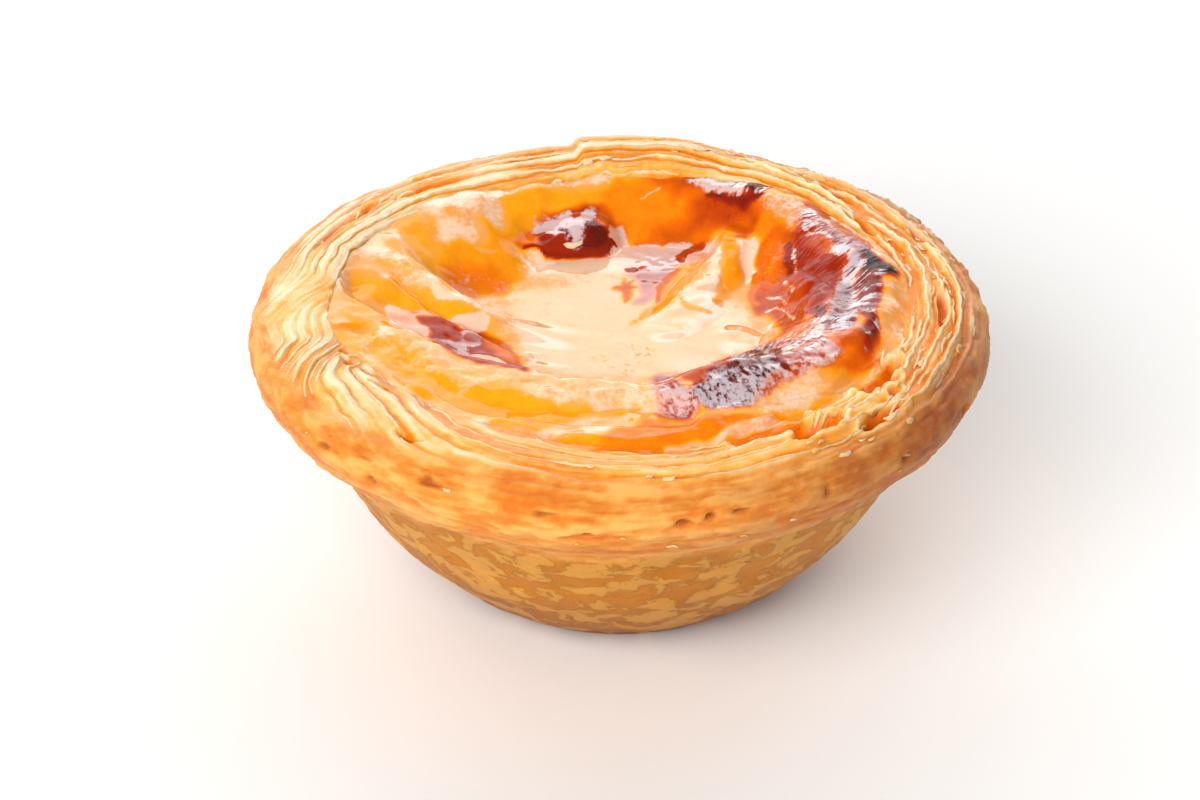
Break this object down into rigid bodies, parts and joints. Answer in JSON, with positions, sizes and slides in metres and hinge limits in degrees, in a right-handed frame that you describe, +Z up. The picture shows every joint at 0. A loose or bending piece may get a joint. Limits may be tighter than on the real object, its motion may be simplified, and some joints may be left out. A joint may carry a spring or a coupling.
{
  "type": "custard tart",
  "caption": "Small round flaky-pastry tart: a flared bowl-shaped case with a laminated rolled rim, filled with baked custard whose skin is burnt in patches.",
  "frame": {"origin": "centre of the flat base that the tart stands on", "axes": "+Z up through the tart, -Y towards the side with the long burnt roll's end, +X towards its darkest peak"},
  "size_m": [0.0762, 0.0766, 0.0318],
  "materials": {
    "pastry": "baked flaky pastry, golden with browned edges",
    "custard": "glossy baked egg custard with caramelised patches"
  },
  "bodies": {
    "root": {"crust": "pastry", "custard": "custard"}
  },
  "joints": []
}
